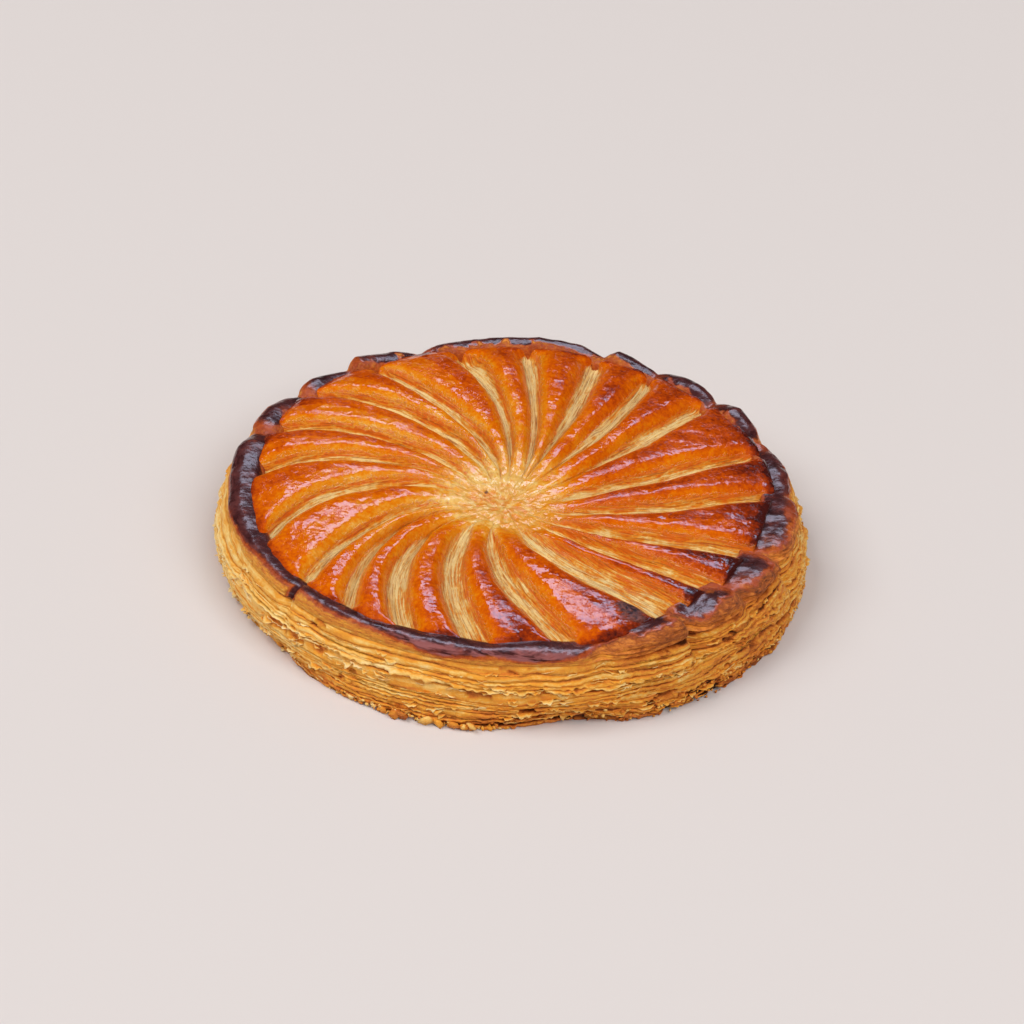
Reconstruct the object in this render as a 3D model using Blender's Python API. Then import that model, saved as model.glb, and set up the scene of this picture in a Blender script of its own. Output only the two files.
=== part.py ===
"""A galette des rois: a flat round of puff pastry.

It has a swirl of opened cuts in its lid, a rolled rim knocked in by notches, and a layered side. The
whole cake is one solid: a stack of closed rings, laid from the middle of the lid out to the rim, down the
side and under the base. A ring's points lie in columns that follow the cuts, so that each petal between
two cuts keeps its own crown and each cut its own valley.
Sizes are in millimetres, bearings in degrees anticlockwise from +X, seen from above.
"""

import bmesh
import bpy
import numpy as np

MM = 0.001

# Driving sizes
CREASE_RADIUS = 115.5  # where the lid meets the rolled rim
CREASE_HEIGHT = 30.6
LIP_HEIGHT = 33.2
DOME_RISE = 4.6  # of the filled middle over the crease
PETAL_CROWN = 2.0  # of a petal's middle over its edges
CROWN_FULLNESS = 0.7  # the lower, the squarer a petal's back
CUT_DEPTH = 4.6
SWIRL_CENTRE = (-4.0, -15.0)  # where the cuts run together, a little off the cake's own middle
NAVEL_DEPTH = 1.6

# Places on the lid are shares of the way from the swirl's centre to the crease.
NAVEL_SHARE = 0.16
CUTS_STRAIGHT_WITHIN = 0.22
CUTS_OPEN_OVER = (0.12, 0.4)
CUTS_CLOSE_OVER = (0.86, 1.0)
CUTS_LEFT_OPEN = 0.15  # of their depth, at the crease
CUT_SPREAD = (0.55, 1.15)  # a cut's width at the swirl's centre and at the crease, as shares of its own

# Each cut: its bearing at three shares of the way out, and the width of its opening at the middle one.
CUT_SHARES = (0.3, 0.6, 0.9)
CUTS = (
    (-13, -3, 3, 8.0),
    (12, 17.5, 19.5, 9.0),
    (35, 39.5, 41.5, 9.0),
    (53, 54.5, 57.5, 7.5),
    (67, 69, 71.5, 6.5),
    (75, 82.5, 87.5, 5.0),
    (89, 95, 102.5, 5.0),
    (102, 114, 123.5, 6.0),
    (115, 127, 140.5, 7.0),
    (137, 146.5, 158.5, 5.5),
    (152, 163, 176, 7.0),
    (168, 183.5, 200, 7.0),
    (195, 209, 219.5, 6.5),
    (205, 219.5, 232, 5.0),
    (220, 232.5, 246, 9.0),
    (240, 252, 262.5, 11.0),
    (261.5, 273.5, 282, 12.0),
    (293, 303.5, 309, 17.0),
    (314, 319.5, 323, 9.0),
    (326, 334.5, 339.5, 9.0),
)

# Each notch knocked into the rim: its bearing, how far it pulls the rim in, and its half width in degrees.
NOTCHES = (
    (4, 2.5, 2.0),
    (25, 2.0, 2.2),
    (41, 2.5, 2.2),
    (58, 2.5, 2.2),
    (71, 2.5, 2.2),
    (113, 3.5, 2.8),
    (130.7, 3.5, 2.4),
    (145.5, 3.5, 2.4),
    (164, 2.5, 2.2),
    (223, 2.5, 1.6),
    (289, 3.0, 2.2),
    (309, 7.0, 2.6),
    (325, 3.0, 2.2),
    (341, 6.0, 2.4),
)

# How far the rim stands over its usual height, by bearing. Its lobes lie like shingles at the back: each is
# highest where it comes out from under the one before it.
LOBE_LIFTS = (
    (14, 0.2),
    (24, -0.8),
    (29, 2.0),
    (35, 4.0),
    (41, 1.6),
    (48, 4.0),
    (58, 1.0),
    (68, 5.0),
    (71, 2.4),
    (80, 4.6),
    (86, 5.2),
    (98, 3.6),
    (113, 0.4),
    (119, 2.6),
    (128, 4.6),
    (131, 1.6),
    (140, 3.2),
    (146, 1.0),
    (155, 4.2),
    (161, 3.8),
    (164, 2.6),
    (169, 3.6),
    (180, 2.2),
    (200, 0.0),
    (300, 0.4),
    (306, 1.4),
    (312, -0.6),
    (335, 0.4),
)
LOBE_EVENED_OVER = 14.0  # degrees to either side, where the lid follows the lobes
LID_FOLLOWS = 0.8  # how much of the evened lift the lid's edge takes
LID_RISES_OVER = (0.45, 1.0)

NOTCH_FADE_HEIGHT = 14.0  # a notch has run out this far down the side
NOTCH_FADE_SHARE = 0.7  # and this far in on the lid
NOTCH_CREASE_SHARE = 0.8  # of its pull that the crease inside the lip takes
NOTCH_DROP = 0.4  # how far the rim sinks for each millimetre that it is pulled in

# The rolled rim, from the crease out and over: radius, height, and the share of a notch's pull that it takes.
RIM_PROFILE = (
    (117.5, 32.1, 0.9),
    (120.0, LIP_HEIGHT, 1.0),
    (123.4, 31.9, 1.0),
)
LIP_FULLEST = 275.0  # the bearing where the rim stands highest
LIP_SWELL = 0.5
LIP_WAVE = 0.4

# The side's profile, from the base up to the lip: height and radius.
SIDE_HEIGHTS = (0.0, 4.0, 9.0, 14.0, 20.0, 26.0, 31.0)
SIDE_RADII = (128.0, 128.3, 128.9, 129.1, 127.7, 125.1, 123.5)
# How far the base spreads past that profile, by bearing: it is torn off short at the left and at the front.
BASE_SPREADS = (
    (0, 1.0),
    (160, 0.5),
    (186, -1.7),
    (226, -1.7),
    (232, 1.0),
    (262, 2.0),
    (270, 0.6),
    (276, -2.0),
    (282, -5.2),
    (288, -3.0),
    (294, 2.3),
    (318, 2.3),
    (323, 0.8),
    (330, 2.4),
    (345, 1.0),
)
BASE_SPREAD_HEIGHT = 13.0  # up to here
# The thick leaves of the side: the heights where one ends and the next begins, and how far each stands out.
LEAF_EDGES = (31.0, 25.5, 19.8, 14.6, 8.0, 3.2, 0.0)
LEAF_PROUD = (-0.2, 0.2, 0.9, -0.3, 0.5, 0.2)
LEAF_GAP = 1.3  # depth of the groove between two leaves
LEAF_GAP_SHARE = 0.12  # of a leaf's height that its groove takes
LEAF_WANDER = 1.0  # how far the leaves' edges rise and fall round the cake
LEVEL_WITHIN = 5.0  # of the base and of the lip, where the leaves' edges run level

# The mesh: columns across one petal, as shares of the way from one cut to the next, and the rings of the lid
PETAL_COLUMNS = (0.0, 0.11, 0.25, 0.42, 0.6, 0.77, 0.9)
LID_SHARES = (0.07, 0.14, 0.21, 0.28, 0.36, 0.45, 0.55, 0.65, 0.75, 0.84, 0.91, 0.96, 1.0)

# Each crust: its name, colour and roughness
SIDE_CRUST = ("layered_side", (0.62, 0.30, 0.09), 0.6)
LID_CRUST = ("glazed_lid", (0.62, 0.19, 0.03), 0.25)
RIM_CRUST = ("browned_rim", (0.10, 0.03, 0.02), 0.25)


def smooth_step(low, high, value):
    """Nothing up to low, one from high on, and a soft S between them."""
    share = np.clip((value - low) / (high - low), 0.0, 1.0)
    return share * share * (3.0 - 2.0 * share)


def by_bearing(table, bearings):
    """What a table gives at these bearings, in even slopes between its own."""
    known, values = np.array(table).T
    return np.interp(bearings, known, values, period=360.0)


def evened_lift(bearings):
    """The lobes' lift, evened out over its neighbourhood."""
    steps = np.linspace(-LOBE_EVENED_OVER, LOBE_EVENED_OVER, 9)
    return sum(by_bearing(LOBE_LIFTS, bearings + step) for step in steps) / len(steps)


def cut_bearings(share):
    """The bearing of every cut at this share of the way out, on the curve through its three bearings."""
    a, b, c = CUT_SHARES
    at = max(share, CUTS_STRAIGHT_WITHIN)
    inner = (at - b) * (at - c) / ((a - b) * (a - c))
    middle = (at - a) * (at - c) / ((b - a) * (b - c))
    outer = (at - a) * (at - b) / ((c - a) * (c - b))
    return np.array([inner * cut[0] + middle * cut[1] + outer * cut[2] for cut in CUTS])


def column_bearings(share):
    """The bearings of all columns of a ring: those of the cuts, and steps across each petal between them."""
    cuts = cut_bearings(share)
    following = np.append(cuts[1:], cuts[0] + 360.0)
    steps = np.array(PETAL_COLUMNS)
    return (cuts[:, None] + (following - cuts)[:, None] * steps).ravel()


def petal_relief(share):
    """How far each column of a lid ring stands over the dome: the petals' crowns less the cuts' valleys."""
    cuts = cut_bearings(share)
    petals = np.radians(np.append(cuts[1:], cuts[0] + 360.0) - cuts) * CREASE_RADIUS * share
    steps = np.array(PETAL_COLUMNS)
    widths = np.array([cut[3] for cut in CUTS])
    before = petals[:, None] * steps
    after = petals[:, None] * (1.0 - steps)
    reach = 0.5 * widths * np.interp(share, (0.0, 1.0), CUT_SPREAD)
    valley = np.exp(-((before / reach[:, None]) ** 2)) + np.exp(-((after / np.roll(reach, -1)[:, None]) ** 2))
    crown = (4.0 * steps * (1.0 - steps)) ** CROWN_FULLNESS * np.ones_like(petals)[:, None]
    closed = (1.0 - CUTS_LEFT_OPEN) * smooth_step(*CUTS_CLOSE_OVER, share)
    opened = smooth_step(*CUTS_OPEN_OVER, share) * (1.0 - closed)
    return (opened * (PETAL_CROWN * crown - CUT_DEPTH * np.minimum(valley, 1.0))).ravel()


def lid_ring(share):
    """The points of a ring of the lid, at this share of the way from the swirl's centre to the crease."""
    bearings = column_bearings(share)
    pull = notch_pull(bearings) * NOTCH_CREASE_SHARE * smooth_step(NOTCH_FADE_SHARE, 1.0, share)
    reach = CREASE_RADIUS * share - pull
    x = SWIRL_CENTRE[0] * (1.0 - share) + reach * np.cos(np.radians(bearings))
    y = SWIRL_CENTRE[1] * (1.0 - share) + reach * np.sin(np.radians(bearings))
    dome = CREASE_HEIGHT + DOME_RISE * (1.0 - share**4)
    navel = NAVEL_DEPTH * np.exp(-((share / NAVEL_SHARE) ** 2))
    follow = LID_FOLLOWS * evened_lift(bearings) * smooth_step(*LID_RISES_OVER, share)
    z = dome - navel + petal_relief(share) + follow - NOTCH_DROP * pull
    return np.column_stack((x, y, z))


def notch_pull(bearings):
    """How far the notches pull the rim in at these bearings."""
    pull = np.zeros_like(bearings)
    for bearing, depth, half_width in NOTCHES:
        away = (bearings - bearing + 180.0) % 360.0 - 180.0
        pull += depth * np.exp(-((away / half_width) ** 2))
    return pull


def lip_roll(bearings):
    """The rim's rise and fall: a slow swell, fullest at the front, and its lobes."""
    swell = np.cos(np.radians(bearings - LIP_FULLEST))
    wave = LIP_WAVE * np.sin(np.radians(3.0 * bearings + 40.0))
    return LIP_SWELL * swell + wave + by_bearing(LOBE_LIFTS, bearings)


def rim_ring(radius, height, pull_share):
    """A ring of the rolled rim, drawn in and down at each notch by this share of its depth."""
    bearings = column_bearings(1.0)
    pull = notch_pull(bearings) * pull_share
    reach = radius - pull
    turn = np.radians(bearings)
    z = height + lip_roll(bearings) * pull_share - NOTCH_DROP * pull
    return np.column_stack((reach * np.cos(turn), reach * np.sin(turn), z))


def side_ring(height, proud):
    """A ring of the side, standing this far out at this height, which the leaves' wander lifts and drops."""
    bearings = column_bearings(1.0)
    turn = np.radians(bearings)
    top = LEAF_EDGES[0]
    free = smooth_step(0.0, LEVEL_WITHIN, height) * smooth_step(0.0, LEVEL_WITHIN, top - height)
    waves = np.sin(3.0 * turn + 0.25 * height) + 0.6 * np.sin(7.0 * turn - 0.4 * height)
    wander = LEAF_WANDER * free * waves
    risen = smooth_step(NOTCH_FADE_HEIGHT, LIP_HEIGHT, height) * LID_FOLLOWS * evened_lift(bearings)
    spread = by_bearing(BASE_SPREADS, bearings) * (1.0 - smooth_step(0.0, BASE_SPREAD_HEIGHT, height))
    pull = notch_pull(bearings) * smooth_step(NOTCH_FADE_HEIGHT, LIP_HEIGHT, height)
    radius = np.interp(height, SIDE_HEIGHTS, SIDE_RADII) + proud + spread - pull
    z = height + wander + risen - NOTCH_DROP * pull
    return np.column_stack((radius * np.cos(turn), radius * np.sin(turn), z))


def side_rings():
    """The rings of the side: two for each leaf's face, and one in the groove under it."""
    rings = []
    for top, bottom, proud in zip(LEAF_EDGES[:-1], LEAF_EDGES[1:], LEAF_PROUD):
        groove = (top - bottom) * LEAF_GAP_SHARE
        rings.append(side_ring(top - groove, proud))
        rings.append(side_ring(bottom + groove, proud))
        if bottom > 0.0:
            rings.append(side_ring(bottom, proud - LEAF_GAP))
    rings.append(side_ring(0.0, 0.0))
    return rings


def build_rings():
    """Every ring of the cake, from the middle of the lid to the edge of the base."""
    lid = [lid_ring(share) for share in LID_SHARES]
    rim = [rim_ring(*step) for step in RIM_PROFILE]
    return lid + rim + side_rings()


def build_galette(name):
    """The cake as one closed mesh: four-sided faces from ring to ring, closed by the navel and the base."""
    rings = build_rings()
    cake = bmesh.new()
    loops = [[cake.verts.new(point * MM) for point in ring] for ring in rings]
    for upper, lower in zip(loops[:-1], loops[1:]):
        for near, far in zip(range(len(upper)), [*range(1, len(upper)), 0]):
            cake.faces.new((upper[near], lower[near], lower[far], upper[far]))
    navel = cake.faces.new(loops[0])
    middle = bmesh.ops.poke(cake, faces=[navel])["verts"][0]
    middle.co.z = (CREASE_HEIGHT + DOME_RISE - NAVEL_DEPTH) * MM
    base = cake.faces.new(loops[-1])
    bmesh.ops.poke(cake, faces=[base])
    bmesh.ops.recalc_face_normals(cake, faces=cake.faces)
    mesh = bpy.data.meshes.new(name)
    cake.to_mesh(mesh)
    cake.free()
    mesh.shade_smooth()
    mesh.set_sharp_from_angle(angle=np.radians(50.0))
    return mesh


def crust_material(name, colour, roughness):
    """A plain baked crust."""
    material = bpy.data.materials.new(name)
    material.use_nodes = True
    shader = material.node_tree.nodes["Principled BSDF"]
    shader.inputs["Base Color"].default_value = (*colour, 1.0)
    shader.inputs["Roughness"].default_value = roughness
    shader.inputs["Metallic"].default_value = 0.0
    return material


def paint(mesh):
    """Gives each face its crust: the glazed lid, the dark rolled rim, or the layered side and base."""
    for crust in (SIDE_CRUST, LID_CRUST, RIM_CRUST):
        mesh.materials.append(crust_material(*crust))
    for face in mesh.polygons:
        centre = face.center / MM
        reach = np.hypot(centre.x, centre.y)
        if reach < CREASE_RADIUS and centre.z > 0.5 * CREASE_HEIGHT:
            face.material_index = 1
        elif centre.z > CREASE_HEIGHT:
            face.material_index = 2


def main():
    for leftover in list(bpy.data.objects):
        bpy.data.objects.remove(leftover)
    mesh = build_galette("galette")
    paint(mesh)
    galette = bpy.data.objects.new("galette", mesh)
    bpy.context.scene.collection.objects.link(galette)


main()
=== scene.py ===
"""The looks of the galette des rois: its glazed lid, browned rim, layered side, flakes and crumbs.

Sizes are in millimetres and are turned into metres when a mesh is made. Bearings are in degrees,
anticlockwise from +X, seen from above. A place on the lid is a bearing and a share: the share of the way
from the swirl's centre to a circle of LID_RADIUS about the cake's own middle.
"""

import itertools

import bmesh
import bpy
import numpy as np
from mathutils import Matrix, Vector


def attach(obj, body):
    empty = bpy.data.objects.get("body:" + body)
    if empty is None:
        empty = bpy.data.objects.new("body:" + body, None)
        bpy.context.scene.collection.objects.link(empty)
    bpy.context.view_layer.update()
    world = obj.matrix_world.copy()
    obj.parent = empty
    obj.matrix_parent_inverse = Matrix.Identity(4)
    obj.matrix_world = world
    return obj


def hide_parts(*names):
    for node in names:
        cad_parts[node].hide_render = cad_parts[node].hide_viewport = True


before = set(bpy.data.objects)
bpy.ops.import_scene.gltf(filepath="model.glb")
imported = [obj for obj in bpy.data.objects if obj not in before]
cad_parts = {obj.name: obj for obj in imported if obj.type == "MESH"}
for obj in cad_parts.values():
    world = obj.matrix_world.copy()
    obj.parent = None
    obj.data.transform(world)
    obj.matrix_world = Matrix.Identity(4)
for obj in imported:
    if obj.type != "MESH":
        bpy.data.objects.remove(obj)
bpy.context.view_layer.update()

MM = 0.001
FRONT = 270.0
BACK = 90.0

# ---------------------------------------------------------------- numbers of the noise
# Large primes scatter the numbers of a cell and the seed; each key is then mixed by shifts and more primes.
# A key keeps 31 bits, and the lowest of them make its value.
AXIS_PRIMES = (73856093, 19349663, 83492791)
SEED_PRIME = 668265263
MIXING = ((13, 1274126177), (15, 461845907))
KEY_BITS = 0x7FFFFFFF
LOW_BITS = 0xFFFF
OCTAVE_STRENGTH = 0.55  # of each finer layer over the one before it

# ---------------------------------------------------------------- sizes of the lid
LID_RADIUS = 118.0
SWIRL_CENTRE = (-4.0, -15.0)
CREASE_HEIGHT = 30.6
DOME_RISE = 4.4
DOME_RADIUS = 115.5
PETAL_CROWN = 3.8  # of a petal's back over the edge of its glaze
PETAL_ROUND = 8.5  # how far in from its edge a petal reaches its full height
BROAD_HALF = 7.0  # half the width of a petal that stands at its full height
CUT_DEPTH = 3.0  # of a cut 8 mm wide, under the edge of the glaze
BROAD_CUT_HALF = 4.0  # half the width of such a cut
LID_FOLLOWS = 0.8  # how much of the lip's rise the lid's edge takes
LID_FOLLOWS_OVER = (0.45, 1.0)
LID_FLOOR = 24.0  # the height of its hidden underside
LID_STARTS_AT = 0.012  # the share of the grid's first row
LID_UNDER_LIP = 0.035  # the share that the lid reaches in under the lip
# The relief of the lid: the height of the torn leaves and fibres in the cuts, and of the glaze's lumps,
# dimples and ripples with their sizes
LEAF_HEIGHT = 1.25
FIBRE_HEIGHT = 0.6
LUMP_SIZE = 12.0
LUMP_HEIGHT = 0.3
DIMPLE_SIZE = 5.0
DIMPLE_HEIGHT = 0.15
RIPPLE_SIZE = 2.6
RIPPLE_HEIGHT = 0.07
# The torn middle of the swirl: the size and height of its crumbs, how far it sinks, and where it ends
TORN_SIZE = 3.0
TORN_HEIGHT = 0.7
TORN_SINKS = 0.8
TORN_ENDS_OVER = (0.06, 0.22)
# The small burnt patch: its bearing and share, how far it lies off that place, and its half sizes round the
# cake and outward; then the tiny hole near the middle, which is only a dark spot of painted shade
BURN_BEARING = 302.0
BURN_SHARE = 0.85
BURN_OFFSET = (-1.8, -5.4)
BURN_HALF_SIZES = (5.6, 7.6)
HOLE_PLACE = (-11.8, -5.0)
HOLE_RADIUS = 0.8
USUAL_TONE = 0.35  # how browned the glaze is where nothing changes it
# How browned the glaze is over its usual tone: bearing, then at each of TONE_SHARES
TONE_SHARES = (0.5, 0.75, 0.9)
TONE_KEYS = (
    (0, 0.05, 0.04, 0.28),
    (30, 0.01, 0.0, 0.06),
    (60, -0.01, 0.12, 0.1),
    (90, -0.1, 0.0, 0.05),
    (120, -0.08, 0.0, -0.03),
    (150, -0.08, -0.08, 0.07),
    (180, -0.14, -0.14, -0.08),
    (210, -0.09, -0.09, -0.09),
    (240, -0.06, -0.04, -0.06),
    (270, 0.02, 0.08, 0.08),
    (285, 0.0, 0.09, 0.08),
    (298, 0.0, 0.1, 0.1),
    (306, 0.08, 0.22, 0.26),
    (330, 0.09, 0.23, 0.33),
)
# The slant also decides which side of each cut takes painted shade and which painted light.
CUT_SLANT = 315.0  # the bearing where the glaze fades most softly after a cut and ends sharply before it
SLANT_REACH = 3.0  # how far from a cut's middle this is felt in full
BROWNEST_CUTS = 350.0
CUT_SPACING = 37.0  # how far apart the patterns of two cuts lie
# The shares over which the cuts grow wide, grow deep, and end
CUTS_WIDEN_OVER = (0.14, 0.34)
CUTS_OPEN_OVER = (0.1, 0.42)
CUTS_END_OVER = (0.9, 0.975)
CUTS_STRAIGHT_TO = 0.2  # the share up to which a cut keeps one bearing
NARROWEST_CUT = 1.2

# Each cut: its bearings at three shares, and the widths of its opening at three other shares.
BEARING_SHARES = (0.3, 0.6, 0.9)
WIDTH_SHARES = (0.4, 0.62, 0.84)
CUTS = (
    (-13, -3, 3, 6.3, 8.6, 6.5),
    (12, 17.5, 19.5, 8.0, 9.2, 6.3),
    (35, 39.5, 41.5, 3.0, 8.5, 8.0),
    (53, 54.5, 57.5, 3.4, 7.7, 6.9),
    (67, 69, 71.5, 3.0, 6.5, 9.0),
    (75, 82.5, 87.5, 3.4, 4.3, 6.9),
    (89, 95, 102.5, 2.9, 4.3, 9.0),
    (102, 114, 123.5, 4.2, 6.0, 5.7),
    (115, 127, 140.5, 5.1, 7.0, 5.5),
    (137, 146.5, 158.5, 4.0, 4.3, 6.9),
    (152, 163, 176, 3.2, 6.5, 6.9),
    (168, 183.5, 200, 5.0, 7.4, 6.9),
    (195, 209, 219.5, 5.0, 6.6, 6.0),
    (205, 219.5, 232, 2.5, 4.0, 6.0),
    (220, 232.5, 246, 2.5, 10.0, 13.0),
    (240, 252, 262.5, 8.5, 11.5, 13.0),
    (261.5, 273.5, 282, 8.0, 12.5, 10.0),
    (293, 303.5, 309, 12.0, 17.5, 17.0),
    (314, 319.5, 323, 6.0, 8.8, 8.5),
    (326, 334.5, 339.5, 7.4, 9.4, 9.0),
)
PETAL_STEPS = 48  # columns across one petal
PETAL_LEAN = 0.09  # how much closer those columns stand beside the cuts
LID_ROWS = 100

# ---------------------------------------------------------------- sizes of the rim
# Bearing; share where the dark lip begins; how far over its section the dark glaze reaches, in the section's
# own steps; the lip's height over its usual one. The far lobes lie like shingles: each is highest where it
# comes out from under the one before it.
RIM_KEYS = (
    (5, 0.940, 6.0, 0.3),
    (14, 0.945, 6.0, 0.4),
    (22, 0.950, 6.0, -0.4),
    (26, 0.950, 6.0, 1.0),
    (29, 0.950, 6.0, 3.0),
    (35, 0.950, 6.0, 5.2),
    (41, 0.950, 6.0, 2.6),
    (48, 0.950, 6.0, 5.2),
    (53, 0.950, 6.0, 4.0),
    (58, 0.955, 6.0, 1.8),
    (62, 0.955, 6.0, 3.6),
    (68, 0.955, 6.0, 6.4),
    (71, 0.955, 6.0, 3.4),
    (80, 0.955, 6.0, 5.8),
    (86, 0.955, 6.0, 6.6),
    (98, 0.955, 6.0, 4.8),
    (107, 0.955, 5.4, 3.0),
    (113, 0.955, 5.4, 1.0),
    (119, 0.955, 5.4, 3.6),
    (128, 0.955, 5.4, 5.8),
    (131, 0.955, 5.4, 2.4),
    (140, 0.955, 5.4, 4.2),
    (146, 0.955, 5.4, 1.6),
    (155, 0.950, 5.4, 5.4),
    (161, 0.940, 6.0, 5.0),
    (164, 0.935, 6.0, 3.6),
    (169, 0.930, 6.4, 4.4),
    (180, 0.930, 6.4, 3.0),
    (200, 0.940, 6.0, 0.2),
    (210, 0.950, 4.6, 0.0),
    (240, 0.955, 4.6, 0.0),
    (250, 0.945, 5.4, 0.5),
    (259, 0.925, 6.8, 1.0),
    (267, 0.945, 5.6, 0.0),
    (276, 0.918, 6.8, 1.1),
    (285, 0.940, 5.2, 0.0),
    (291, 0.945, 3.6, -0.2),
    (300, 0.930, 3.3, 1.2),
    (306.5, 0.925, 3.7, 2.8),
    (311, 0.900, 4.6, -0.5),
    (318, 0.880, 4.6, 0.9),
    (327, 0.895, 4.2, 0.3),
    (335, 0.885, 4.8, 0.9),
    (345, 0.900, 5.0, 0.4),
    (355, 0.905, 5.4, 0.5),
)
RIM_INNER, RIM_REACH, RIM_LIFT = 1, 2, 3  # the columns of RIM_KEYS
LIFT_SPAN = 14.0  # how far to both sides of a bearing the lobes' heights are evened out for the lid
LIFT_STEPS = 9
RIM_HEIGHT = 33.0
RIM_RADIUS = 124.0
RIM_FOOT_HEIGHT = 28.6

# Each notch in the rim: its bearing, how far it pulls the rim in, its half widths before and after it, and
# whether the dark glaze runs on through it.
NOTCHES = (
    (4, 2.5, 1.6, 2.6, 1.0),
    (25, 2.0, 1.5, 3.0, 0.5),
    (41, 2.5, 1.6, 3.5, 0.6),
    (58, 2.0, 1.6, 3.0, 0.6),
    (71, 2.5, 1.2, 4.0, 0.5),
    (113, 2.5, 1.8, 4.5, 0.2),
    (130.7, 2.5, 1.2, 4.5, 0.25),
    (145.5, 2.5, 1.6, 4.5, 0.25),
    (164, 2.0, 1.6, 3.5, 0.3),
    (223, 2.2, 1.2, 1.2, 1.0),
    (289, 2.5, 2.5, 1.6, 0.7),
    (309.3, 7.0, 1.3, 2.4, 0.3),
    (325, 2.5, 2.0, 2.0, 0.8),
    (341, 6.0, 1.8, 2.2, 0.3),
)
NOTCH_DROP = 0.35
NOTCH_SHARPNESS = 1.6
BARED_BEFORE = 4.0  # how far before and after a notch the glaze is paler
BARED_AFTER = 1.4
DRIP_BEARING = 223.0  # where the dark glaze has run down the outer face
DRIP_HALF = 1.0
DRIP_ENDS_OVER = (7.8, 8.8)  # in the section's own steps
# The bearings over which the painted sheen on the lip's front begins and ends
SHEEN_FROM = (228.0, 244.0)
SHEEN_TO = (278.0, 290.0)

RING_COLUMNS = 1440
RIM_STEPS = 9  # between the points that the rim's section runs through
RIM_ROWS = 56

# ---------------------------------------------------------------- sizes of the side
SIDE_HEIGHTS = (0.0, 2.0, 5.0, 9.0, 14.0, 20.0, 26.0, 31.0)
SIDE_RADII = (127.5, 128.3, 128.9, 129.3, 129.4, 127.9, 125.2, 123.4)
# How far the base spreads past its usual radius, by bearing
BASE_KEYS = (
    (0, 1.5), (160, 1.0), (180, 0.2), (192, -1.6), (203, -3.0), (223, -3.6), (231, 0.4),
    (246, 2.4), (263, 2.8), (270, 0.8), (276, -1.2), (282, -4.6), (286, -3.8), (291, 0.0),
    (296, 3.0), (318, 2.8), (323, 1.2), (330, 3.0), (342, 1.2),
)
BASE_REACH = 13.0  # how far up the side the base's spread is felt
# The leaves, from the lip down: thickness at the left and at the right, how far it stands proud, depth of
# the gap over it at the left and at the right, toast, roughness. The left has a thick lumpy band under the
# lip, then a frilled ledge over a smooth hollow wall; the right has many thin leaves.
UPPER_LEAVES = (
    (1.0, 0.8, -0.3, 0.3, 0.9, 0.62, 0.5),
    (4.2, 1.2, 0.2, 0.4, 0.8, 0.44, 0.5),
    (0.3, 1.1, -0.1, 0.15, 1.3, 0.46, 0.6),
    (3.2, 1.0, 0.3, 0.3, 0.9, 0.40, 0.5),
    (0.25, 1.2, -0.3, 0.15, 1.6, 0.50, 0.7),
    (0.9, 1.3, 0.5, 0.6, 1.0, 0.38, 1.0),
    (0.5, 0.9, 0.3, 0.7, 1.3, 0.46, 0.9),
)
MIDDLE_LEAVES = (
    (0.8, 0.7, 0.7, 0.8, 1.1, 0.40, 1.3),
    (0.9, 0.8, 1.2, 0.8, 1.0, 0.32, 1.6),
    (0.5, 0.9, -0.7, 1.8, 2.4, 0.56, 0.7),
    (3.4, 0.9, -0.2, 0.4, 1.0, 0.43, 0.4),
    (2.0, 1.1, -0.1, 0.3, 0.8, 0.40, 0.4),
    (0.7, 1.1, 0.2, 0.8, 0.9, 0.40, 0.8),
    (0.6, 0.9, -0.2, 0.9, 1.2, 0.46, 0.8),
    (0.8, 1.1, 0.4, 0.8, 1.2, 0.40, 1.0),
)
LOWER_LEAVES = (
    (0.8, 0.8, -0.1, 0.7, 1.2, 0.48, 0.8),
    (1.0, 1.1, 0.5, 0.7, 1.1, 0.40, 1.1),
    (0.7, 0.9, -0.2, 0.8, 1.5, 0.52, 0.9),
    (1.6, 0.9, 0.2, 0.6, 1.2, 0.44, 1.2),
    (0.8, 1.1, -0.2, 0.9, 1.3, 0.50, 1.2),
    (1.8, 1.0, 0.3, 0.7, 1.3, 0.48, 1.7),
    (0.9, 1.1, -0.5, 1.4, 1.6, 0.60, 1.6),
    (1.6, 1.2, 0.0, 1.3, 1.3, 0.56, 1.9),
)
# The bearings over which the right side begins and ends
RIGHT_FROM = (272.0, 300.0)
RIGHT_TO = (370.0, 400.0)
# Hollows under the lip: bearing and half width
LIP_HOLLOWS = ((302, 8.5), (307, 2.6), (318, 5.0), (334, 5.5), (352, 4.0))
HOLLOW_DEPTH = 3.8
UNDER_LIP_OVER = (26.2, 27.8)
RIM_FELT_OVER = (8.0, 30.0)  # the heights over which the side takes up the rim's notches and lobes
# The smooth hollow wall at the front left, where the leaves are least frayed
CALM_BEARING = 207.0
CALM_HALF = 24.0
PIT_SIZE = 11.0
PIT_DEPTH = 2.0
SIDE_TOP = 29.6
UPPER_FOOT = 20.4
MIDDLE_FOOT = 10.0
LEAF_OVERLAP = 0.7  # how far one stack of leaves reaches down behind the next
SIDE_BACK = 9.0  # how far in the hidden back of the side lies
COLUMN_LEAN = 0.4  # how much closer the columns stand at the front than in the mean

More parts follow.
